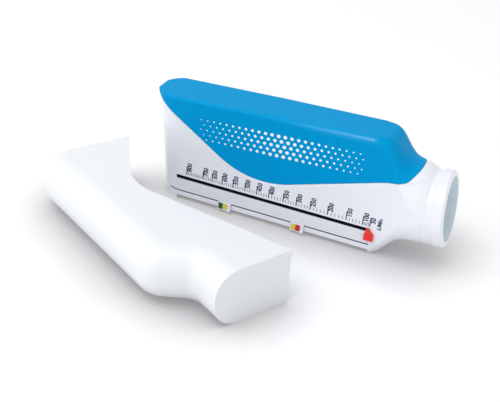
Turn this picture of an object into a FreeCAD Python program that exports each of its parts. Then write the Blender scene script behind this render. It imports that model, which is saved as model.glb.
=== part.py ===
import FreeCAD, Part
import math
import os
import Sketcher
from FreeCAD import Placement, Rotation, Vector

# Peak flow meter with its loose clip-on handle. X runs along the body towards the mouthpiece,
# Z is up, and the origin is the centre of the rear foot's underside.

doc = FreeCAD.newDocument("PeakFlowMeter")

# driving dimensions

sizes = {
    # body
    "body_half": 9.8, "rear_end": -4.7, "rear_lean": 5.3, "rear_lean_height": 3.0,
    "wall_thick": 1.7, "foot_rear_front": 3.7, "foot_set_back": 26.8, "ground_depth": 2.0,
    "top_height": 49.15, "top_slope": 2.75, "slab_set_back": 31.1, "middle_set_back": 73.1,
    "tail_overrun": 10.3, "tail_corner": 0.8, "middle_corner": 1.3, "shoulder_corner": 3.0,
    "rail_bottom": 1.8, "rail_height": 2.1, "rail_groove": 0.45, "rail_groove_depth": 1.0,
    "hook_groove_width": 0.8, "hook_groove_depth": 0.8, "hook_groove_in": 2.4,
    # track and slot
    "slot_start": 3.5, "slot_set_back": 27.2, "slot_height": 1.1, "track_height": 5.75,
    "track_thick": 0.8, "track_ribs": 4, "track_rib_depth": 0.1, "track_rib_gap": 0.3,
    "part_clear": 0.05,
    # mouthpiece
    "mouth_reach": 113.1, "mouth_rise": 23.5, "mouth_tilt": 6.84, "mouth_radius": 15.0,
    "bore_radius": 12.7, "waist_radius": 14.4, "bead_length": 3.8, "tube_length": 8.8,
    "rim_round": 0.6,
    # joint between cover and casing
    "joint_gap": 0.2, "lap_inset": 0.85, "lap_rise": 1.2,
    "dip_place": 35.6, "dip_height": 15.3, "dip_radius": 35.0, "fall_angle": 33.4,
    "rise_set_back": 16.1, "rise_end_height": 35.3, "rise_radius": 3.0,
    "edge_set_back": 11.5, "edge_end_height": 40.4, "cover_overhang": 0.9,
    # rod, spring and piston
    "rod_radius": 1.5, "rod_height": 22.2, "rod_set_back": 10.6, "run_clear": 0.05,
    "bush_radius": 4.0, "bush_length": 5.7, "rod_inset": 2.1, "buffer_thick": 2.0,
    "hub_radius": 3.5, "hub_back": 5.4, "hub_front": 3.0, "plate_offset": 2.1,
    "plate_thick": 1.2, "plate_bottom": 4.5, "plate_top": 40.0, "plate_side_clear": 0.3,
    "plate_corner": 3.0, "rib_radius": 6.0, "rib_thick": 0.8,
    "stop_radius": 2.2, "stop_length": 2.0, "stop_clear": 0.15,
    "spring_radius": 2.95, "spring_coils": 9, "coil_overlap": 1.03,
    "spider_hub_radius": 3.4, "spider_hub_length": 4.8, "spider_ring_length": 3.0,
    "spider_ring_thick": 1.2, "spider_leg_width": 1.6, "spider_set_back": 10.6,
    # pointer and its driver
    "pointer_inset": 0.3, "pointer_width": 3.7, "pointer_shoulder": 9.0, "pointer_bottom": 6.4,
    "pointer_peak": 11.4, "pointer_thick": 1.0, "pointer_float": 0.15, "stem_width": 0.9,
    "clip_width": 2.8, "clip_height": 2.4, "clip_thick": 0.8, "arm_width": 3.0,
    "arm_height": 2.6, "arm_gap": 0.1,
    # markers
    "marker_width": 5.6, "marker_wall": 0.7, "marker_float": 0.1, "label_edge": 0.2,
    "label_height": 2.75, "label_thick": 0.15, "label_half": 1.9, "label_inset": 0.45,
    "tab_width": 1.3, "tab_height": 1.0,
    "high_marker_place": 22.6, "low_marker_place": 54.2,
    # handle, in its own frame
    "handle_thick": 22.5, "handle_wall": 1.4, "handle_left": -16.4, "handle_right": 91.0,
    "handle_outer": -54.3, "handle_step_start": 67.5, "handle_step_end": 78.0,
    "handle_end_outer": -41.5, "handle_tip": -14.6, "handle_tip_back": -8.5,
    "handle_dip_place": 24.5, "handle_dip": -34.2, "handle_dip_radius": 22.0,
    "handle_rise_place": 74.1, "handle_rise": -15.4, "handle_ledge": 3.0,
    "handle_ledge_rise": 0.5, "handle_tip_in": 2.0, "handle_tip_drop": 0.6, "handle_end_rim": -9.4,
    "handle_corner": 11.8, "handle_step_round": 12.0, "handle_step_hollow": 5.0,
    "handle_top_edge": 9.0, "handle_low_edge": 11.0, "handle_turn": 30.0, "handle_overcut": 6.0,
    # cutting solids
    "tool_long": 160.0, "tool_wide": 80.0, "tool_low": 20.0, "overcut": 3.0,
}

# stations of the moulded neck: set back from the rim, then how far the width, the top, the
# underside and the corners have gone from the flat slab's to the round tube's
neck = [
    ("crest", 27.1, 0.0, 0.005, 0.0, 0.42),
    ("brow", 24.2, 0.05, 0.10, 0.16, 0.56),
    ("slope", 21.5, 0.19, 0.345, 0.40, 0.70),
    ("fall", 18.9, 0.40, 0.60, 0.69, 0.81),
    ("hollow", 16.1, 0.65, 0.765, 0.89, 0.89),
    ("throat", 13.7, 0.83, 0.81, 0.955, 0.94),
    ("lip", 11.5, 0.94, 0.85, 0.98, 0.97),
    ("collar", 7.8, 1.0, 1.0, 1.0, 0.992),
]
stations = ["tail", "middle", "shoulder"] + [station[0] for station in neck]

# places and sizes that follow from the driving dimensions
derived = {
    "foot_front_rear": "mouth_reach - foot_set_back",
    "slot_end": "mouth_reach - slot_set_back",
    "pointer_tip": "slot_end - pointer_inset",
    "plate_start": "slot_end + plate_offset",
    "hub_start": "plate_start - hub_back",
    "hub_end": "plate_start + hub_front",
    "rod_start": "rear_end + rod_inset",
    "rod_end": "mouth_reach - rod_set_back",
    "bush_end": "rear_end + bush_length",
    "spider_hub_start": "rod_end - spider_hub_length",
    "spring_wire": "(spider_hub_start - hub_end) / (2 * spring_coils) * coil_overlap",
    "spring_pitch": "(spider_hub_start - hub_end - 2 * spring_wire) / (spring_coils - 1)",
    "rise_end_place": "mouth_reach - rise_set_back",
    "edge_end_place": "mouth_reach - edge_set_back",
    "collar_middle": "mouth_rise - %s * tan(mouth_tilt * 1 deg)" % neck[-1][1],
    "collar_radius": "waist_radius + joint_gap / 2",
    "tail_place": "rear_end - tail_overrun",
    "middle_place": "mouth_reach - middle_set_back",
    "shoulder_place": "mouth_reach - slab_set_back",
}
for name in stations[:3]:
    derived[name + "_half"] = "body_half"
    derived[name + "_under"] = "-ground_depth"
    derived[name + "_top"] = \
        "top_height - (shoulder_place - %s_place) * tan(top_slope * 1 deg)" % name
for name, back, wide, fallen, raised, rounded in neck:
    derived[name + "_place"] = "mouth_reach - %s" % back
    derived[name + "_half"] = "body_half + (collar_radius - body_half) * %s" % wide
    derived[name + "_top"] = "top_height - (top_height - collar_middle - collar_radius) * %s" % fallen
    derived[name + "_under"] = "-ground_depth + (collar_middle - collar_radius + ground_depth) * %s" \
        % raised
    derived[name + "_corner"] = "%s_half * %s" % (name, rounded)

sheet = doc.addObject("Spreadsheet::Sheet", "Sizes")
for row, (name, value) in enumerate(sizes.items(), 1):
    sheet.set("A%d" % row, name)
    sheet.set("B%d" % row, str(value))
    sheet.setAlias("B%d" % row, name)
doc.recompute()


def named(text):
    """Write out an expression: derived names in full, and the sheet's name before each size."""
    words = []
    word = ""
    for letter in text + " ":
        if letter.isalnum() or letter == "_":
            word += letter
            continue
        if word in derived:
            words.append("(" + named(derived[word]) + ")")
        else:
            words.append("Sizes." + word if word in sizes else word)
        words.append(letter)
        word = ""
    return "".join(words).strip()


def number(text):
    return float(sheet.evalExpression(named(text)))


def bind(thing, **rules):
    for rule, text in rules.items():
        thing.setExpression(rule.replace("__", "."), named(text))


def place(thing, x="0", y="0", z="0", turn=None):
    """Put a thing at a point, turned about an axis by an angle given as (axis, text)."""
    if turn:
        thing.Placement = Placement(Vector(), Rotation(turn[0], number(turn[1])))
    for axis, text in zip("xyz", (x, y, z)):
        thing.setExpression("Placement.Base." + axis, named(text))
    return thing


# sketches and simple solids

def closedOutline(sketch, corners):
    """Draw a closed outline of straight lines with every corner bound to the sheet."""
    values = [(number(x), number(y)) for x, y in corners]
    count = len(corners)
    for index in range(count):
        start, end = values[index], values[(index + 1) % count]
        sketch.addGeometry(Part.LineSegment(Vector(*start, 0), Vector(*end, 0)))
    for index in range(count):
        sketch.addConstraint(Sketcher.Constraint("Coincident", index, 2, (index + 1) % count, 1))
    for index, (x, y) in enumerate(corners):
        for kind, text, value in (("DistanceX", x, values[index][0]),
                                  ("DistanceY", y, values[index][1])):
            rule = sketch.addConstraint(Sketcher.Constraint(kind, -1, 1, index, 1, value))
            sketch.setExpression("Constraints[%d]" % rule, named(text))


def newBody(label):
    body = doc.addObject("PartDesign::Body", label)
    body.Label = label
    return body


def bodySketch(body, role, label):
    sketch = body.newObject("Sketcher::SketchObject", label)
    plane = [item for item in body.Origin.OriginFeatures if item.Role == role][0]
    sketch.AttachmentSupport = [(plane, "")]
    sketch.MapMode = "FlatFace"
    return sketch


def prism(label, role, corners, length, offset=None, midplane=False, backward=False):
    """A body padded from one straight-sided outline on an origin plane."""
    body = newBody(label)
    sketch = bodySketch(body, role, label + "_outline")
    closedOutline(sketch, corners)
    if offset:
        sketch.setExpression("AttachmentOffset.Base.z", named(offset))
    pad = body.newObject("PartDesign::Pad", label + "_pad")
    pad.Profile = sketch
    pad.Midplane = midplane
    pad.Reversed = backward
    bind(pad, Length=length)
    sketch.Visibility = False
    doc.recompute()
    return body


def roundEdges(body, label, radius, wanted):
    """Fillet the edges of a body's tip that the test function wants."""
    tip = body.Tip
    names = ["Edge%d" % (index + 1) for index, edge in enumerate(tip.Shape.Edges) if wanted(edge)]
    fillet = body.newObject("PartDesign::Fillet", label)
    fillet.Base = (tip, names)
    bind(fillet, Radius=radius)
    doc.recompute()
    return fillet


def runsAt(edge, axes, point):
    """True for a straight edge that crosses the plane of two axes at a point."""
    ends = [(vertex.Point[axes[0]], vertex.Point[axes[1]]) for vertex in edge.Vertexes]
    return len(ends) == 2 and all(math.dist(end, point) < 0.02 for end in ends)


def box(label, x, y, z, long, deep, tall):
    solid = doc.addObject("Part::Box", label)
    bind(solid, Length=long, Width=deep, Height=tall)
    return place(solid, x, y, z)


def rod(label, x, y, z, radius, length):
    """A cylinder lying along X."""
    solid = doc.addObject("Part::Cylinder", label)
    bind(solid, Radius=radius, Height=length)
    return place(solid, x, y, z, (Vector(0, 1, 0), "90"))


def upright(label, radius, height):
    solid = doc.addObject("Part::Cylinder", label)
    bind(solid, Radius=radius, Height=height)
    return solid


def cut(label, base, tool):
    result = doc.addObject("Part::Cut", label)
    result.Base, result.Tool = base, tool
    return result


def fuse(label, things):
    result = doc.addObject("Part::MultiFuse", label)
    result.Shapes = things
    return result


def common(label, things):
    result = doc.addObject("Part::MultiCommon", label)
    result.Shapes = things
    return result


# moulded hull

def stationSketch(label, name, inset):
    """One rounded cross-section of the hull, drawn in a plane across X."""
    sketch = doc.addObject("Sketcher::SketchObject", label)
    sketch.Placement = Placement(Vector(), Rotation(Vector(1, 1, 1), 120))
    sketch.setExpression("Placement.Base.x", named(name + "_place"))
    half = "%s_half - %s" % (name, inset)
    top = "%s_top - %s" % (name, inset)
    under = "%s_under + %s" % (name, inset)
    if inset != "0":
        under = "max(%s; rail_bottom + %s)" % (under, inset)
    corner = "max(%s_corner - %s; 0.6)" % (name, inset)
    w, t, u, r = number(half), number(top), number(under), number(corner)
    centres = [(w - r, u + r), (w - r, t - r), (-w + r, t - r), (-w + r, u + r)]
    ends = [((-w + r, u), (w - r, u)), ((w, u + r), (w, t - r)),
            ((w - r, t), (-w + r, t)), ((-w, t - r), (-w, u + r))]
    for index in range(4):
        start, end = ends[index]
        sketch.addGeometry(Part.LineSegment(Vector(*start, 0), Vector(*end, 0)))
        ring = Part.Circle(Vector(*centres[index], 0), Vector(0, 0, 1), r)
        first = (index - 1) * math.pi / 2
        sketch.addGeometry(Part.ArcOfCircle(ring, first, first + math.pi / 2))
    for index in range(8):
        sketch.addConstraint(Sketcher.Constraint("Tangent", index, 2, (index + 1) % 8, 1))
    for index, kind in ((0, "Horizontal"), (4, "Horizontal"), (2, "Vertical"), (6, "Vertical")):
        sketch.addConstraint(Sketcher.Constraint(kind, index))
    for index in (3, 5, 7):
        sketch.addConstraint(Sketcher.Constraint("Equal", 1, index))
    rules = [(Sketcher.Constraint("Radius", 1, r), corner),
             (Sketcher.Constraint("DistanceX", -1, 1, 2, 1, w), half),
             (Sketcher.Constraint("DistanceX", -1, 1, 6, 1, -w), "-(%s)" % half),
             (Sketcher.Constraint("DistanceY", -1, 1, 0, 1, u), under),
             (Sketcher.Constraint("DistanceY", -1, 1, 4, 1, t), top)]
    for constraint, text in rules:
        rule = sketch.addConstraint(constraint)
        sketch.setExpression("Constraints[%d]" % rule, named(text))
    return sketch


def hull(label, inset="0", rear="rear_end"):
    """The hull from its leaning round rear end to the mouthpiece collar, shrunk by an inset."""
    turn = stations.index("shoulder")
    sketches = [stationSketch("%s_%s" % (label, name), name, inset) for name in stations]
    parts = []
    for part, run, ruled in (("slab", sketches[:turn + 1], True),
                             ("neck", sketches[turn:], False)):
        loft = doc.addObject("Part::Loft", "%s_%s" % (label, part))
        loft.Sections, loft.Solid, loft.Ruled = run, True, ruled
        parts.append(loft)
    drum = doc.addObject("Part::Cylinder", label + "_rear_drum")
    bind(drum, Radius="body_half - " + inset, Height="tool_wide")
    place(drum, z="-tool_low")
    front = box(label + "_rear_front", "0", "-tool_wide / 2", "-tool_low", "tool_long",
                "tool_wide", "tool_wide")
    plan = fuse(label + "_plan", [drum, front])
    place(plan, rear + " + body_half", "0", "rear_lean_height",
          (Vector(0, -1, 0), "rear_lean"))
    return common(label, [fuse(label + "_full", parts), plan])


def mouthTube():
    """Round mouthpiece with its bead and waist, turned about the tilted axis."""
    body = newBody("mouth_tube")
    sketch = bodySketch(body, "XZ_Plane", "mouth_tube_outline")
    closedOutline(sketch, [
        ("-tube_length", "0"), ("0", "0"), ("0", "mouth_radius - rim_round"),
        ("-rim_round", "mouth_radius"), ("-bead_length", "mouth_radius"),
        ("-bead_length - 1.2", "waist_radius"), ("-tube_length", "waist_radius")])
    turned = body.newObject("PartDesign::Revolution", "mouth_tube_turned")
    turned.Profile = sketch
    turned.ReferenceAxis = (sketch, ["H_Axis"])
    turned.Angle = 360
    sketch.Visibility = False
    return place(body, "mouth_reach", "0", "mouth_rise", (Vector(0, -1, 0), "mouth_tilt"))


def mouthBore():
    bore = doc.addObject("Part::Cylinder", "mouth_bore")
    bind(bore, Radius="bore_radius", Height="tube_length + 2")
    bore.Placement = Placement(Vector(), Rotation(Vector(0, 1, 0), 90 - number("mouth_tilt")))
    slant = "tube_length * cos(mouth_tilt * 1 deg)", "tube_length * sin(mouth_tilt * 1 deg)"
    for axis, text in (("x", "mouth_reach - " + slant[0]), ("z", "mouth_rise - " + slant[1])):
        bore.setExpression("Placement.Base." + axis, named(text))
    return bore


def coverRegion(label, lift):
    """Everything above the curved line where the cover meets the casing, lifted by a gap."""
    corners = [("-tool_low", "dip_height + (dip_place + tool_low) * tan(fall_angle * 1 deg)"),
               ("dip_place", "dip_height"), ("rise_end_place", "rise_end_height"),
               ("edge_end_place", "edge_end_height"), ("edge_end_place", "tool_wide"),
               ("-tool_low", "tool_wide")]
    body = prism(label, "XZ_Plane", corners, "tool_wide", midplane=True)
    for name, radius, x, z in (("dip", "dip_radius", "dip_place", "dip_height"),
                               ("rise", "rise_radius", "rise_end_place", "rise_end_height")):
        point = number(x), number(z)
        roundEdges(body, "%s_%s" % (label, name), radius,
                   lambda edge: runsAt(edge, (0, 2), point))
    return place(body, "0", "0", lift)


trackTop = "rail_bottom + rail_height + rail_groove + track_height"


def trackTools():
    """Cuts for the slot, the track's seat, the rail's grooves and the open underside."""
    front = "-body_half"
    run = "slot_end - slot_start"
    slot = box("slot_cut", "slot_start", front + " - overcut", trackTop, run,
               "wall_thick + overcut + 1", "slot_height")
    seat = box("track_seat_cut", "slot_start", front + " - overcut",
               "rail_bottom + rail_height + rail_groove", run, "overcut + track_thick",
               "track_height + 0.01")
    railRun = "foot_front_rear - foot_rear_front"
    groove = box("rail_groove_cut", "foot_rear_front", front + " - overcut",
                 "rail_bottom + rail_height", railRun, "overcut + rail_groove_depth",
                 "rail_groove + 0.01")
    hook = box("hook_groove_cut", "foot_rear_front", front + " + hook_groove_in",
               "rail_bottom - 0.5", railRun, "hook_groove_width", "0.5 + hook_groove_depth")
    notch = box("underside_cut", "foot_rear_front", "-tool_wide / 2", "-tool_low", railRun,
                "tool_wide", "tool_low + rail_bottom")
    below = box("ground_cut", "-tool_low", "-tool_wide / 2", "-tool_low", "tool_long",
                "tool_wide", "tool_low")
    return fuse("casing_cuts", [slot, seat, groove, hook, notch, below])


def casings():
    """The white lower casing and the blue top cover, which meet on a half-lapped edge."""
    outer = fuse("casing_outer", [hull("outer_hull"), mouthTube()])
    hollow = fuse("casing_hollow", [hull("inner_hull", "wall_thick"), mouthBore()])
    lap = hull("lap_hull", "lap_inset")
    shell = cut("casing_shell", outer, hollow)
    skin = cut("cover_skin", hull("cover_hull", rear="rear_end - cover_overhang"), hollow)
    cover = common("cover_blank", [skin, coverRegion("cover_region", "joint_gap")])
    rebate = cut("cover_rebate", lap, coverRegion("rebate_region", "lap_rise + joint_gap"))
    topCover = cut("top_cover", cover, rebate)
    lower = cut("casing_blank", shell, coverRegion("casing_region", "0"))
    tongueRing = cut("tongue_ring", lap, hollow)
    tongueLow = cut("tongue_low", tongueRing, coverRegion("tongue_region", "lap_rise"))
    tongue = common("tongue", [tongueLow, coverRegion("tongue_base", "-0.5")])
    casing = cut("lower_casing", fuse("casing_lapped", [lower, tongue]), trackTools())
    doc.recompute()
    return hollow, topCover, casing


def pointerTrack():
    """Strip under the slot that the pointer slides along, with fine lengthwise ribs."""
    strip = box("track_strip", "slot_start + part_clear", "-body_half",
                "rail_bottom + rail_height + rail_groove", "slot_end - slot_start - 2 * part_clear",
                "track_thick - part_clear", "track_height")
    valleys = []
    for index in range(int(sizes["track_ribs"])):
        share = "track_height * %d / (track_ribs + 1)" % (index + 1)
        valleys.append(box("track_valley_%d" % (index + 1), "slot_start - 1", "-body_half - 1",
                           "rail_bottom + rail_height + rail_groove + %s - track_rib_gap / 2"
                           % share, "slot_end - slot_start + 2", "1 + track_rib_depth",
                           "track_rib_gap"))
    return cut("pointer_track", strip, fuse("track_valleys", valleys))


# rod, spring and piston

def rearBush(hollow):
    """Boss on the rear wall that holds the rod's end."""
    boss = rod("rear_bush_blank", "rear_end - overcut", "0", "rod_height", "bush_radius",
               "bush_end - rear_end + overcut")
    seated = common("rear_bush_seated", [boss, hollow])
    return cut("rear_bush", seated, rod("rear_bush_bore", "rod_start - part_clear", "0",
                                        "rod_height", "rod_radius + part_clear / 2", "tool_low"))


def frontSpider(hollow):
    """Ring in the mouthpiece with three legs and a hub that carries the rod's front end."""
    ring = upright("spider_rim", "bore_radius + 0.2", "spider_ring_length")
    well = upright("spider_well", "bore_radius - spider_ring_thick", "spider_ring_length")
    ring = cut("spider_ring", ring, well)
    legs = []
    for index, angle in enumerate((90, 210, 330)):
        leg = doc.addObject("Part::Box", "spider_leg_%d" % (index + 1))
        bind(leg, Length="bore_radius", Width="spider_leg_width", Height="spider_ring_length")
        turn = Rotation(Vector(0, 0, 1), angle)
        leg.Placement = Placement(turn.multVec(Vector(0, -number("spider_leg_width") / 2, 0)), turn)
        legs.append(leg)
    wheel = fuse("spider_wheel", [ring] + legs)
    wheel.Placement = Placement(Vector(), Rotation(Vector(0, 1, 0), 90 - number("mouth_tilt")))
    back = "(spider_set_back + spider_ring_length)"
    for axis, text in (("x", "mouth_reach - %s * cos(mouth_tilt * 1 deg)"),
                       ("z", "mouth_rise - %s * sin(mouth_tilt * 1 deg)")):
        wheel.setExpression("Placement.Base." + axis, named(text % back))
    hub = rod("spider_hub", "spider_hub_start", "0", "rod_height", "spider_hub_radius",
              "rod_end - spider_hub_start")
    seated = common("spider_seated", [fuse("spider_blank", [wheel, hub]), hollow])
    return cut("front_spider", seated, rod("spider_bore", "spider_hub_start - overcut", "0",
                                           "rod_height", "rod_radius + part_clear / 2",
                                           "tool_low"))


def returnSpring():
    """Light return spring at rest, its close-wound coils touching, round the rod's stop."""
    coils = []
    for index in range(int(sizes["spring_coils"])):
        coil = doc.addObject("Part::Torus", "spring_coil_%d" % (index + 1))
        bind(coil, Radius1="spring_radius", Radius2="spring_wire")
        coils.append(place(coil, "hub_end + spring_wire + %d * spring_pitch" % index, "0",
                           "rod_height", (Vector(0, 1, 0), "90")))
    return fuse("return_spring", coils)


def washer(label, start, radius, length, bore):
    """Ring round the guide rod."""
    return cut(label, rod(label + "_blank", start, "0", "rod_height", radius, length),
               rod(label + "_bore", start, "0", "rod_height", bore, length))


def pistonPlate():
    """Thin rounded plate that the breath pushes, with a stiffening ring and a hub hole."""
    half = "body_half - wall_thick - plate_side_clear"
    body = prism("plate_sheet", "YZ_Plane",
                 [("-(%s)" % half, "plate_bottom"), (half, "plate_bottom"),
                  (half, "plate_top"), ("-(%s)" % half, "plate_top")],
                 "plate_thick", "plate_start")
    corners = [(sign * number(half), number(z)) for sign in (-1, 1)
               for z in ("plate_bottom", "plate_top")]
    roundEdges(body, "plate_corners", "plate_corner",
               lambda edge: any(runsAt(edge, (1, 2), corner) for corner in corners))
    ring = rod("plate_ring", "plate_start + plate_thick - 0.1", "0", "rod_height", "rib_radius",
               "rib_thick + 0.1")
    bore = rod("plate_bore", "plate_start - overcut", "0", "rod_height",
               "hub_radius + part_clear / 2", "tool_low")
    return cut("piston_plate", fuse("plate_blank", [body, ring]), bore)


def driverArm():
    """Foot on the plate's rear face that pushes the pointer's clip along."""
    return box("driver_arm", "pointer_tip + stem_width + arm_gap", "-body_half + wall_thick + 0.3",
               trackTop + " + slot_height / 2 - arm_height / 2",
               "plate_start - pointer_tip - stem_width - arm_gap", "arm_width", "arm_height")


# pointer

stemStart = "pointer_tip - stem_width - 0.1"


def pointer():
    """House-shaped pointer in front of the track with a stem through the slot."""
    left = "pointer_tip - pointer_width * 0.4"
    right = "pointer_tip + pointer_width * 0.6"
    house = prism("pointer_plate", "XZ_Plane",
                  [(left, "pointer_bottom"), (right, "pointer_bottom"), (right, "pointer_shoulder"),
                   ("pointer_tip", "pointer_peak"), (left, "pointer_shoulder")],
                  "pointer_thick", "body_half + pointer_float")
    stem = box("pointer_stem", stemStart, "-body_half - pointer_float - pointer_thick / 2",
               trackTop + " + 0.1", "stem_width",
               "pointer_float * 2 + pointer_thick / 2 + wall_thick + clip_thick",
               "slot_height - 0.2")
    neck = box("pointer_neck", stemStart, "-body_half - pointer_float - pointer_thick",
               "pointer_shoulder", "stem_width", "pointer_thick",
               trackTop + " + slot_height - 0.1 - pointer_shoulder")
    return fuse("pointer", [house, stem, neck])


def pointerClip():
    """Retainer pressed on the stem behind the wall."""
    middle = trackTop + " + slot_height / 2"
    start = "pointer_tip + stem_width - clip_width"
    plate = box("clip_plate", start, "-body_half + wall_thick + pointer_float",
                middle + " - clip_height / 2", "clip_width", "clip_thick", "clip_height")
    hole = box("clip_hole", stemStart + " - part_clear / 2", "-body_half",
               trackTop + " + 0.1 - part_clear / 2", "stem_width + part_clear",
               "wall_thick + overcut", "slot_height - 0.2 + part_clear")
    return cut("pointer_clip", plate, hole)


# zone markers

def zoneMarker(label, start, colours):
    """Clip that hooks over the rail and under it, with a finger tab and two colour labels."""
    front = "-body_half - marker_float - marker_wall"
    low = "rail_bottom - marker_float - marker_wall"
    lip = "rail_bottom + rail_height + marker_float"
    hookEnd = "hook_groove_in + hook_groove_width + marker_wall"
    face = box(label + "_face", start, front, low, "marker_width", "marker_wall",
               "rail_height + marker_float * 2 + marker_wall + rail_groove / 2")
    over = box(label + "_over", start, front, lip, "marker_width",
               "marker_wall + rail_groove_depth", "rail_groove / 2")
    under = box(label + "_under", start, front, low, "marker_width", hookEnd, "marker_wall")
    hook = box(label + "_hook", start, "-body_half + hook_groove_in + marker_float", low,
               "marker_width", "hook_groove_width - 2 * marker_float",
               "marker_wall + hook_groove_depth")
    tab = box(label + "_tab", start + " + marker_width - tab_width", front + " - tab_height / 2",
              low, "tab_width", "marker_wall + tab_height / 2", "tab_height")
    pieces = [fuse(label, [face, over, under, hook, tab])]
    for index, colour in enumerate(colours):
        pieces.append(box("%s_%s_label" % (label, colour),
                          "%s + label_inset + %d * label_half" % (start, index),
                          front + " - label_thick", low + " + marker_wall / 2 + label_edge",
                          "label_half", "label_thick", "label_height"))
    return pieces


# loose handle

def handleOutline(inset, over):
    """Corners of the handle's outline, drawn inward by an inset and past the rim by an overcut."""
    step = "tan(atan((handle_end_outer - handle_outer) / (handle_step_end - handle_step_start))" \
        " / 2) * " + inset
    return [
        ("handle_left + " + inset, "handle_outer + " + inset),
        ("handle_step_start - " + step, "handle_outer + " + inset),
        ("handle_step_end - " + step, "handle_end_outer + " + inset),
        ("handle_right - " + inset, "handle_end_outer + " + inset),
        ("handle_right - " + inset, "handle_end_rim + " + over),
        ("handle_rise_place + handle_ledge", "handle_rise + handle_ledge_rise + " + over),
        ("handle_rise_place", "handle_rise + " + over),
        ("handle_dip_place", "handle_dip + " + over),
        ("handle_tip_back", "handle_tip + " + over),
        ("handle_left + handle_tip_in + " + inset, "handle_tip - handle_tip_drop + " + over),
    ]


def handleBlank(label, inset, over):
    """Padded outline with rounded long edges, a round corner and the swept rim."""
    body = prism(label, "XY_Plane", handleOutline(inset, over), "handle_thick - 2 * " + inset,
                 inset)
    side = "handle_outer + " + inset
    back = "tan(atan((handle_end_outer - handle_outer) / (handle_step_end - handle_step_start))" \
        " / 2) * " + inset
    for name, radius, x, y in (
            ("corner", "handle_corner - " + inset, "handle_left + " + inset, side),
            ("step", "handle_step_round - " + inset, "handle_step_start - " + back, side),
            ("hollow", "handle_step_hollow + " + inset, "handle_step_end - " + back,
             "handle_end_outer + " + inset),
            ("dip", "handle_dip_radius", "handle_dip_place", "handle_dip + " + over)):
        point = number(x), number(y)
        roundEdges(body, "%s_%s" % (label, name), radius, lambda edge: runsAt(edge, (0, 1), point))
    endLine = number("handle_end_outer + " + inset) + 0.2
    leftLine = number("handle_left + handle_corner / 2 + " + inset)

    def closedSide(edge, height):
        middle = edge.valueAt((edge.FirstParameter + edge.LastParameter) / 2)
        flat = edge.BoundBox.ZLength < 0.01 and abs(middle.z - height) < 0.01
        left = middle.x < leftLine and middle.y < number("handle_tip") - 1.0
        return flat and (edge.BoundBox.YMax < endLine or left)
    for name, radius, height in (("top", "handle_top_edge", "handle_thick - " + inset),
                                 ("low", "handle_low_edge", inset)):
        level = number(height)
        roundEdges(body, "%s_%s_edges" % (label, name), radius + " - " + inset,
                   lambda edge: closedSide(edge, level))
    return body


def handleShell():
    """Trough-shaped handle open along its swept rim, lying on its flat side."""
    outer = handleBlank("handle_outer_form", "0", "0")
    inner = handleBlank("handle_inner_form", "handle_wall", "handle_overcut")
    shell = cut("handle_shell", outer, inner)
    return place(shell, "rear_end", "0", "0", (Vector(0, 0, -1), "handle_turn"))


# build

hollow, topCover, casing = casings()
nodes = [
    casing, topCover, pointerTrack(), rearBush(hollow), frontSpider(hollow),
    rod("guide_rod", "rod_start", "0", "rod_height", "rod_radius", "rod_end - rod_start"),
    returnSpring(),
    washer("end_buffer", "bush_end", "bush_radius", "buffer_thick", "rod_radius + part_clear / 2"),
    washer("zero_stop", "hub_end + stop_clear", "stop_radius", "stop_length",
           "rod_radius + part_clear / 2"),
    pistonPlate(),
    washer("piston_hub", "hub_start", "hub_radius", "hub_end - hub_start",
           "rod_radius + run_clear"),
    driverArm(), pointer(), pointerClip(), handleShell(),
]
nodes += zoneMarker("high_marker", "high_marker_place", ("green", "yellow"))
nodes += zoneMarker("low_marker", "low_marker_place", ("yellow", "red"))
doc.recompute()

for item in doc.Objects:
    if "Error" in item.State or "Invalid" in item.State:
        raise RuntimeError("%s did not recompute" % item.Label)
os.makedirs("parts", exist_ok=True)
for node in nodes:
    if node.Shape.isNull() or not node.Shape.isValid():
        raise RuntimeError("%s has no valid shape" % node.Label)
    node.Shape.exportStep("parts/%s.step" % node.Label)
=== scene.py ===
import bpy
import math
from mathutils import Matrix, Vector


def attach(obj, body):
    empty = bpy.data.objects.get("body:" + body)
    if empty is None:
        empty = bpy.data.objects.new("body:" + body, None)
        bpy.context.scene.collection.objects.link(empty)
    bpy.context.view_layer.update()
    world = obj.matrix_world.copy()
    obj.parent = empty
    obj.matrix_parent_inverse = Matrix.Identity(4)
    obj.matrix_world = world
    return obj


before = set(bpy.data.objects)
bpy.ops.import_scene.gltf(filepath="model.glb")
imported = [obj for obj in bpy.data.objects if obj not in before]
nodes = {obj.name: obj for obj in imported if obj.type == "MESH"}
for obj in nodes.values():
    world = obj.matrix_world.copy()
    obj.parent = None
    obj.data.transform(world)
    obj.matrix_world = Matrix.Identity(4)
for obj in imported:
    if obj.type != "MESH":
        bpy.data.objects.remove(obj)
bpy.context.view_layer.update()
mm = 0.001
white = (1.0, 1.0, 1.0, 1.0)


def tone(red, green, blue):
    # screen colour to the linear value that a shader socket takes
    values = [channel / 255 for channel in (red, green, blue)]
    values = [v / 12.92 if v <= 0.04045 else ((v + 0.055) / 1.055) ** 2.4 for v in values]
    return tuple(values) + (1.0,)


# shader helpers

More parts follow.
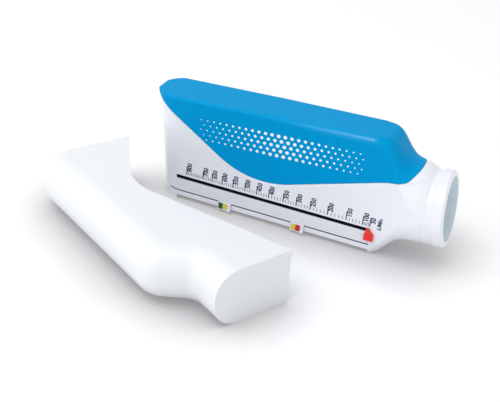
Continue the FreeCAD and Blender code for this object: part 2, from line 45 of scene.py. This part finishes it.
class Signal:
    # the output of a shader node, with the sums and comparisons that the finishes use
    def __init__(self, shade, socket):
        self.shade, self.socket = shade, socket

    def maths(self, operation, *others):
        inputs = {0: self}
        inputs.update({place + 1: other for place, other in enumerate(others)})
        return self.shade.node("ShaderNodeMath", {"operation": operation}, inputs)

    def __add__(self, other):
        return self.maths("ADD", other)

    def __sub__(self, other):
        return self.maths("SUBTRACT", other)

    def __mul__(self, other):
        return self.maths("MULTIPLY", other)

    def __pow__(self, other):
        return self.maths("POWER", other)

    def __lt__(self, other):
        return self.maths("LESS_THAN", other)

    def __gt__(self, other):
        return self.maths("GREATER_THAN", other)

    def __rsub__(self, other):
        return self.maths("MULTIPLY", -1.0) + other

    def near(self, middle, half):
        # 1 within a band around the middle, else 0; both in mm
        return (self - middle * mm).maths("ABSOLUTE") < half * mm


class Shade:
    coatRoughness = 0.12

    def __init__(self, name, colour, roughness, coat=0.0, metallic=0.0):
        self.material = bpy.data.materials.new(name)
        self.material.use_nodes = True
        self.tree = self.material.node_tree
        self.shader = self.tree.nodes["Principled BSDF"]
        self.set("Base Color", colour)
        self.set("Roughness", roughness)
        self.set("Metallic", metallic)
        self.set("Coat Weight", coat)
        self.set("Coat Roughness", self.coatRoughness)
        self.point = self.node("ShaderNodeTexCoord", {}, {}, "Object")

    def feed(self, socket, value):
        # link a signal into the socket, or set a plain value on it
        if isinstance(value, Signal):
            self.tree.links.new(value.socket, socket)
        else:
            socket.default_value = value

    def node(self, kind, settings, inputs, output=0):
        made = self.tree.nodes.new(kind)
        for key, value in settings.items():
            setattr(made, key, value)
        for key, value in inputs.items():
            self.feed(made.inputs[key], value)
        return Signal(self, made.outputs[output])

    def set(self, socket, value):
        self.feed(self.shader.inputs[socket], value)

    def axis(self, letter):
        return self.node("ShaderNodeSeparateXYZ", {}, {0: self.point}, letter)

    def noise(self, scale, detail=2.0, vector=None):
        return self.node("ShaderNodeTexNoise", {}, {
            "Vector": vector or self.point, "Scale": scale, "Detail": detail}, "Fac")

    def mix(self, share, first, second):
        # inputs 6 and 7 and output 2 are the colour sockets of the mix node
        return self.node("ShaderNodeMix", {"data_type": "RGBA"}, {0: share, 6: first, 7: second}, 2)

    def bump(self, height, strength, distance):
        self.set("Normal", self.node("ShaderNodeBump", {}, {
            "Height": height, "Strength": strength, "Distance": distance}, "Normal"))


plastic = {
    # the uneven flow over a moulded piece, and the fine grain of its mould
    "flowScale": 60.0, "flowDetail": 3.0, "flowRoughness": 0.10, "spread": 0.05,
    "grain": 2600.0, "grainStrength": 0.06, "grainDepth": 0.02,
}


def mouldedPlastic(name, colour, roughness, coat=0.0, grain=plastic["grain"],
                   spread=plastic["spread"]):
    shade = Shade(name, colour, roughness, coat)
    flow = shade.noise(plastic["flowScale"], plastic["flowDetail"])
    darker = tuple(channel * (1 - spread) for channel in colour[:3]) + (1.0,)
    shade.set("Base Color", shade.mix(flow, colour, darker))
    vary = plastic["flowRoughness"]
    shade.set("Roughness", flow * vary + (roughness - vary / 2))
    shade.bump(shade.noise(grain), plastic["grainStrength"], plastic["grainDepth"] * mm)
    return shade


# finishes of the CAD nodes; lengths and places in mm, angles in degrees

finishes = {
    # the bore tone is painted shade, a bluish tint for the shaded inner wall of the tube
    "casing": tone(232, 235, 242), "bore": tone(236, 249, 255), "cover": tone(0, 146, 204),
    "coverLow": tone(0, 150, 214), "handle": tone(231, 234, 238), "track": tone(228, 231, 237),
    "inner": tone(205, 210, 218), "steel": tone(190, 192, 196), "rubber": tone(52, 52, 56),
    "pointer": tone(236, 22, 4), "green": tone(10, 92, 58), "yellow": tone(222, 208, 52),
    # the chamber, slot and groove tones are painted shade, dark colours for hollows that light does
    # not reach
    "chamberShade": tone(120, 128, 144), "slot": tone(10, 12, 32), "groove": tone(96, 102, 128),
    "red": tone(196, 22, 40), "ink": tone(28, 46, 88), "motif": tone(244, 249, 253),
}
seam = {
    # the joint with the cover, as drawn in the CAD: two lines and the arc between them
    "dip": (35.6, 15.3), "fall": 33.4, "rise": 18.04, "radius": 35.0, "bevel": 0.9, "depth": 0.7,
    "grainShare": 0.02,
}
casing = {
    "roughness": 0.30, "coat": 0.25,
    "tube": {"tilt": 6.84, "reach": 113.1, "height": 23.5, "radius": 13.2, "start": 98.5},
    # places where shade is painted: the chamber's inside, the slot's lips and the markers' groove
    "chamberShade": {"half": 8.15, "floor": 3.4, "along": (44.5, 41.5)},
    "lipShade": {"front": -8.0, "up": (10.68, 0.6), "along": (44.7, 41.3)},
    "groove": {"front": -8.6, "up": (4.12, 0.3), "end": 86.2},
}


def seamDistance(x, z):
    # how far a point of the casing lies below the joint
    fall, rise = math.radians(seam["fall"]), math.radians(seam["rise"])
    lean = (math.pi - fall + rise) / 2
    reach = seam["radius"] / math.cos((fall + rise) / 2)
    centre = [seam["dip"][0] + reach * math.cos(lean), seam["dip"][1] + reach * math.sin(lean)]
    left = centre[0] - seam["radius"] * math.sin(fall)
    right = centre[0] + seam["radius"] * math.sin(rise)
    across, up = x - centre[0] * mm, z - centre[1] * mm
    arc = (across * across + up * up) ** 0.5 - seam["radius"] * mm
    aside, above = x - seam["dip"][0] * mm, z - seam["dip"][1] * mm
    lines = (aside * -math.sin(fall) - above * math.cos(fall)).maths(
        "MAXIMUM", aside * math.sin(rise) - above * math.cos(rise))
    curved = (x > left * mm) * (x < right * mm)
    return arc * curved + lines * (1.0 - curved)


def casingFinish():
    shade = mouldedPlastic("casing_white", finishes["casing"], casing["roughness"],
                           casing["coat"])
    x, y, z = (shade.axis(letter) for letter in "XYZ")
    # painted shade: the tube's inner wall has a cooler tint that stands in for the bluish shade
    # inside it
    bore = casing["tube"]
    slope = math.tan(math.radians(bore["tilt"]))
    off = z - ((x - bore["reach"] * mm) * slope + bore["height"] * mm)
    away = (y * y + off * off) ** 0.5
    tube = (away < bore["radius"] * mm) * (x > bore["start"] * mm)
    # painted shade: the chamber's inner faces, the slot's lips and the markers' groove are coloured
    # dark for the shade inside them
    inside, edges, cut = casing["chamberShade"], casing["lipShade"], casing["groove"]
    chamberShade = (y.maths("ABSOLUTE") < inside["half"] * mm) * (z > inside["floor"] * mm) \
        * x.near(*inside["along"])
    lipShade = (y < edges["front"] * mm) * z.near(*edges["up"]) * x.near(*edges["along"])
    groove = (y < cut["front"] * mm) * z.near(*cut["up"]) * (x < cut["end"] * mm)
    colour = shade.mix(tube, finishes["casing"], finishes["bore"])
    colour = shade.mix(chamberShade, colour, finishes["chamberShade"])
    colour = shade.mix(groove, colour, finishes["groove"])
    shade.set("Base Color", shade.mix(lipShade, colour, finishes["slot"]))
    # the moulding falls away a little towards its joint with the cover
    below = seamDistance(x, z) * (1 / (seam["bevel"] * mm))
    edge = below.maths("MAXIMUM", 0.0).maths("MINIMUM", 1.0)
    grain = shade.noise(plastic["grain"]) * seam["grainShare"]
    shade.bump(edge + grain, 1.0, seam["depth"] * mm)
    return shade.material


cover = {
    "roughness": 0.32, "specular": 0.03, "lowFrom": 20.0, "lowReach": 28.0,
    "driftScale": 25.0, "driftShare": 0.25,
    # the cover's top, and the polish on its rounded front edge near the mouthpiece
    "topHeight": 49.15, "topReach": 82.0, "topSlope": 2.75, "polish": 0.8,
    "polishDepth": 1.1, "polishHalf": 1.3, "polishStart": 45.0, "polishRise": 30.0,
    "polishEnd": 83.0, "polishFront": -7.4,
}


def coverFinish():
    shade = mouldedPlastic("cover_blue", finishes["cover"], cover["roughness"])
    shade.set("Specular IOR Level", cover["specular"])
    x, y, z = (shade.axis(letter) for letter in "XYZ")
    slope = math.tan(math.radians(cover["topSlope"]))
    below = (x - cover["topReach"] * mm) * slope + (cover["topHeight"] * mm - z)
    depth = (below - cover["polishDepth"] * mm).maths("ABSOLUTE")
    edge = (1.0 - depth * (1 / (cover["polishHalf"] * mm))).maths("MAXIMUM", 0.0)
    along = (x - cover["polishStart"] * mm) * (1 / (cover["polishRise"] * mm))
    fade = along.maths("MAXIMUM", 0.0) * (x < cover["polishEnd"] * mm)
    shade.set("Coat Weight", edge * fade * (y < cover["polishFront"] * mm) * cover["polish"])
    low = (z - cover["lowFrom"] * mm) * (1 / (cover["lowReach"] * mm))
    drift = shade.noise(cover["driftScale"]) * cover["driftShare"]
    shade.set("Base Color", shade.mix(low + drift, finishes["coverLow"], finishes["cover"]))
    return shade.material


track = {"roughness": 0.45, "shadowFrom": 9.75}


def trackFinish():
    # painted shadow: the strip's upper edge is coloured dark where it lies in the slot's shadow
    shade = mouldedPlastic("track_white", finishes["track"], track["roughness"])
    shadow = shade.axis("Z") > track["shadowFrom"] * mm
    shade.set("Base Color", shade.mix(shadow, finishes["track"], finishes["slot"]))
    return shade.material


drawnSteel = {"along": 40.0, "across": 4000.0, "detail": 3.0, "vary": 0.2, "least": 0.2}


def steelFinish():
    # fine lines drawn along the wire
    shade = Shade("drawn_steel", finishes["steel"], drawnSteel["least"], metallic=1.0)
    stretched = shade.node("ShaderNodeMapping", {}, {
        "Vector": shade.point,
        "Scale": (drawnSteel["along"], drawnSteel["across"], drawnSteel["across"])}, "Vector")
    lines = shade.noise(1.0, drawnSteel["detail"], stretched)
    shade.set("Roughness", lines * drawnSteel["vary"] + drawnSteel["least"])
    return shade.material


def dress(piece, material):
    slots = piece.data.materials
    slots.clear()
    slots.append(material)


plain = {
    "handle_shell": mouldedPlastic("handle_white", finishes["handle"], roughness=0.34,
                                   coat=0.2, grain=2200.0, spread=0.02),
    "pointer": mouldedPlastic("pointer_red", finishes["pointer"], roughness=0.3, coat=0.2),
    "high_marker": mouldedPlastic("marker_white", finishes["casing"], roughness=0.35, coat=0.1),
    "high_marker_green_label": mouldedPlastic("label_green", finishes["green"], roughness=0.4),
    "high_marker_yellow_label": mouldedPlastic("label_yellow", finishes["yellow"],
                                               roughness=0.4),
    "low_marker_red_label": mouldedPlastic("label_red", finishes["red"], roughness=0.4),
    "end_buffer": mouldedPlastic("buffer_rubber", finishes["rubber"], roughness=0.7),
    "piston_plate": mouldedPlastic("inner_plastic", finishes["inner"], roughness=0.5),
}
for name, shade in plain.items():
    dress(nodes[name], shade.material)
dress(nodes["lower_casing"], casingFinish())
dress(nodes["top_cover"], coverFinish())
dress(nodes["pointer_track"], trackFinish())
dress(nodes["low_marker"], plain["high_marker"].material)
dress(nodes["low_marker_yellow_label"], plain["high_marker_yellow_label"].material)
for name in ("piston_hub", "driver_arm", "pointer_clip", "rear_bush", "front_spider", "zero_stop"):
    dress(nodes[name], plain["piston_plate"].material)
steel = steelFinish()
for name in ("guide_rod", "return_spring"):
    dress(nodes[name], steel)
print("CAD nodes dressed")


# printed scale, in mm

scale = {
    "face": -9.8, "proud": 0.03, "base": 12.2, "majorTop": 16.2, "minorTop": 13.6,
    "majorWidth": 0.42, "minorWidth": 0.2, "minorStep": 10, "numberSize": 2.6,
    "numberStart": 13.9, "numberShare": 0.7, "bold": 0.09, "curveSteps": 4,
    "unitPlace": 90.2, "unitStart": 12.0, "unitSize": 2.2, "rayStart": -50.0,
    "marks": {800: 7.9, 700: 15.2, 650: 19.2, 600: 23.6, 550: 28.4, 500: 33.6, 450: 38.7,
              400: 43.9, 350: 50.0, 300: 55.5, 250: 61.3, 200: 68.5, 150: 76.1, 100: 82.8,
              50: 85.7},
}
inkMiddle = (scale["face"] - scale["proud"] / 2) * mm


def deselect():
    if bpy.context.object and bpy.context.object.mode != "OBJECT":
        bpy.ops.object.mode_set(mode="OBJECT")
    bpy.ops.object.select_all(action="DESELECT")


def pick(pieces):
    deselect()
    for piece in pieces:
        piece.select_set(True)
    bpy.context.view_layer.objects.active = pieces[0]


def keepPlace(piece):
    pick([piece])
    bpy.ops.object.transform_apply(location=True, rotation=True, scale=True)


def thinBar(x, width, low, high):
    # one printed stroke: a shallow block on the casing's face
    deselect()
    middle = (x * mm, inkMiddle, (low + high) / 2 * mm)
    bpy.ops.mesh.primitive_cube_add(size=1, location=middle)
    bar = bpy.context.object
    bar.scale = (width * mm, scale["proud"] * mm, (high - low) * mm)
    keepPlace(bar)
    return bar


def faceText(words, x, z, size):
    # lettering that reads upward along the front face
    deselect()
    bpy.ops.object.text_add()
    text = bpy.context.object
    text.data.body = words
    text.data.size = size * mm
    text.data.extrude = scale["proud"] / 2 * mm
    text.data.offset = scale["bold"] * mm
    text.data.resolution_u = scale["curveSteps"]
    pick([text])
    bpy.ops.object.convert(target="MESH")
    piece = bpy.context.object
    turn = Matrix(((0, -1, 0), (0, 0, -1), (1, 0, 0))).to_4x4()
    piece.matrix_world = Matrix.Translation((x * mm, inkMiddle, z * mm)) @ turn
    keepPlace(piece)
    return piece


def settle(piece):
    # move each vertex out to the flared neck, keeping the lettering's thickness
    casingNode = nodes["lower_casing"]
    inward = casingNode.matrix_world.inverted()
    for vertex in piece.data.vertices:
        start = inward @ Vector((vertex.co.x, scale["rayStart"] * mm, vertex.co.z))
        hit, spot, _, _ = casingNode.ray_cast(start, (0, 1, 0))
        if hit:
            vertex.co.y += min((casingNode.matrix_world @ spot).y - scale["face"] * mm, 0)


def joined(pieces, name):
    pick(pieces)
    bpy.ops.object.join()
    result = bpy.context.object
    result.name = name
    return result


def placeOf(value):
    # a flow's place between the printed marks on either side of it
    marks = sorted(scale["marks"].items())
    for (low, start), (high, end) in zip(marks, marks[1:]):
        if low <= value <= high:
            return start + (end - start) * (value - low) / (high - low)


strokes = []
numbers = []
for value, x in scale["marks"].items():
    strokes.append(thinBar(x, scale["majorWidth"], scale["base"], scale["majorTop"]))
    numberX = x + scale["majorWidth"] / 2 + scale["numberSize"] * scale["numberShare"]
    numbers.append(faceText(str(value), numberX, scale["numberStart"], scale["numberSize"]))
leastFlow, mostFlow = min(scale["marks"]), max(scale["marks"])
for value in range(leastFlow + scale["minorStep"], mostFlow, scale["minorStep"]):
    if value not in scale["marks"]:
        strokes.append(thinBar(placeOf(value), scale["minorWidth"], scale["base"],
                               scale["minorTop"]))
numbers.append(faceText("L/Min.", scale["unitPlace"], scale["unitStart"], scale["unitSize"]))
for lettering in numbers[-2:]:  # "50" and the unit stand on the neck
    settle(lettering)
ink = mouldedPlastic("scale_ink", finishes["ink"], roughness=0.5)
for pieces, name in ((strokes, "scale_strokes"), (numbers, "scale_numbers")):
    printed = joined(pieces, name)
    dress(printed, ink.material)
    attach(printed, "meter")
print("scale printed")


# plain dotted motif on the cover, in mm

motif = {"rows": 5, "columns": 25, "start": 13.0, "pitch": 2.7, "low": 29.6, "rowRise": 2.1,
         "slope": 0.048, "largest": 0.78, "smallest": 0.22, "sides": 10}


def dot(x, z, radius):
    deselect()
    bpy.ops.mesh.primitive_circle_add(
        vertices=motif["sides"], radius=radius * mm, fill_type="NGON",
        location=(x * mm, (scale["face"] - scale["proud"]) * mm, z * mm),
        rotation=(math.pi / 2, 0, 0))
    piece = bpy.context.object
    bpy.ops.object.mode_set(mode="EDIT")
    bpy.ops.mesh.select_all(action="SELECT")
    bpy.ops.mesh.extrude_region_move(TRANSFORM_OT_translate={"value": (0, scale["proud"] * mm, 0)})
    bpy.ops.mesh.select_all(action="SELECT")
    bpy.ops.mesh.normals_make_consistent(inside=False)
    bpy.ops.object.mode_set(mode="OBJECT")
    keepPlace(piece)
    return piece


dots = []
for row in range(motif["rows"]):
    for column in range(motif["columns"]):
        share = abs(column - motif["columns"] / 2) / (motif["columns"] / 2)
        radius = motif["smallest"] + (motif["largest"] - motif["smallest"]) * (1 - share)
        x = motif["start"] + (column + 0.5 * (row % 2)) * motif["pitch"]
        z = motif["low"] + row * motif["rowRise"] + x * motif["slope"]
        dots.append(dot(x, z, radius))
pattern = joined(dots, "cover_dots")
dress(pattern, mouldedPlastic("dot_white", finishes["motif"], roughness=0.4).material)
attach(pattern, "meter")
print("motif printed")


# studio; eye, lens and sensor in mm, the other lengths in metres

studio = {
    "eye": (146.5, -311.5, 205.5), "forward": (-0.2926, 0.8005, -0.5230),
    "up": (-0.2642, 0.4580, 0.8488), "lens": 67.81, "sensor": 36.0, "nearest": 0.01,
    "key": {"place": (-0.25, -0.35, 0.75), "size": 0.6, "power": 3.4},
    "fill": {"place": (-0.55, -0.65, 0.35), "size": 0.6, "power": 0.6},
    "aim": (0.04, -0.02, 0.02), "world": 0.76, "floorHalf": 3.0, "floorRoughness": 0.9,
    "floorOpen": tone(224, 224, 226), "floorShade": tone(86, 80, 88), "floorGlow": 0.24,
    "shadowReach": 0.026, "shadowFall": 1.3, "shadowSamples": 8,
}


def makeFloor():
    deselect()
    bpy.ops.mesh.primitive_grid_add(x_subdivisions=2, y_subdivisions=2,
                                    size=studio["floorHalf"] * 2)
    floor = bpy.context.object
    floor.name = "floor"
    shade = Shade("studio_floor", studio["floorOpen"], studio["floorRoughness"])
    openness = shade.node("ShaderNodeAmbientOcclusion", {"samples": studio["shadowSamples"]}, {
        "Distance": studio["shadowReach"]}, "AO")
    shade.set("Base Color", shade.mix(openness ** studio["shadowFall"], studio["floorShade"],
                                      studio["floorOpen"]))
    shade.set("Emission Color", white)
    shade.set("Emission Strength", studio["floorGlow"])
    dress(floor, shade.material)


def areaLamp(name, place, size, power):
    lamp = bpy.data.lights.new(name, "AREA")
    lamp.size = size
    lamp.energy = power
    holder = bpy.data.objects.new(name, lamp)
    bpy.context.collection.objects.link(holder)
    holder.location = place
    aim = Vector(studio["aim"]) - Vector(place)
    holder.rotation_euler = aim.to_track_quat("-Z", "Y").to_euler()


def makeCamera():
    camera = bpy.data.objects.new("camera", bpy.data.cameras.new("camera"))
    bpy.context.collection.objects.link(camera)
    forward, up = Vector(studio["forward"]).normalized(), Vector(studio["up"])
    right = forward.cross(up).normalized()
    up = right.cross(forward)
    turn = Matrix((right, up, -forward)).transposed().to_4x4()
    camera.matrix_world = Matrix.Translation(Vector(studio["eye"]) * mm) @ turn
    camera.data.lens = studio["lens"]
    camera.data.sensor_fit = "HORIZONTAL"
    camera.data.sensor_width = studio["sensor"]
    camera.data.clip_start = studio["nearest"]
    bpy.context.scene.camera = camera


makeFloor()
areaLamp("key_lamp", **studio["key"])
areaLamp("fill_lamp", **studio["fill"])
world = bpy.data.worlds.new("studio_world")
world.use_nodes = True
backdrop = world.node_tree.nodes["Background"].inputs
backdrop["Color"].default_value = white
backdrop["Strength"].default_value = studio["world"]
bpy.context.scene.world = world
makeCamera()
bpy.context.scene.view_settings.view_transform = "Standard"
print("studio set")
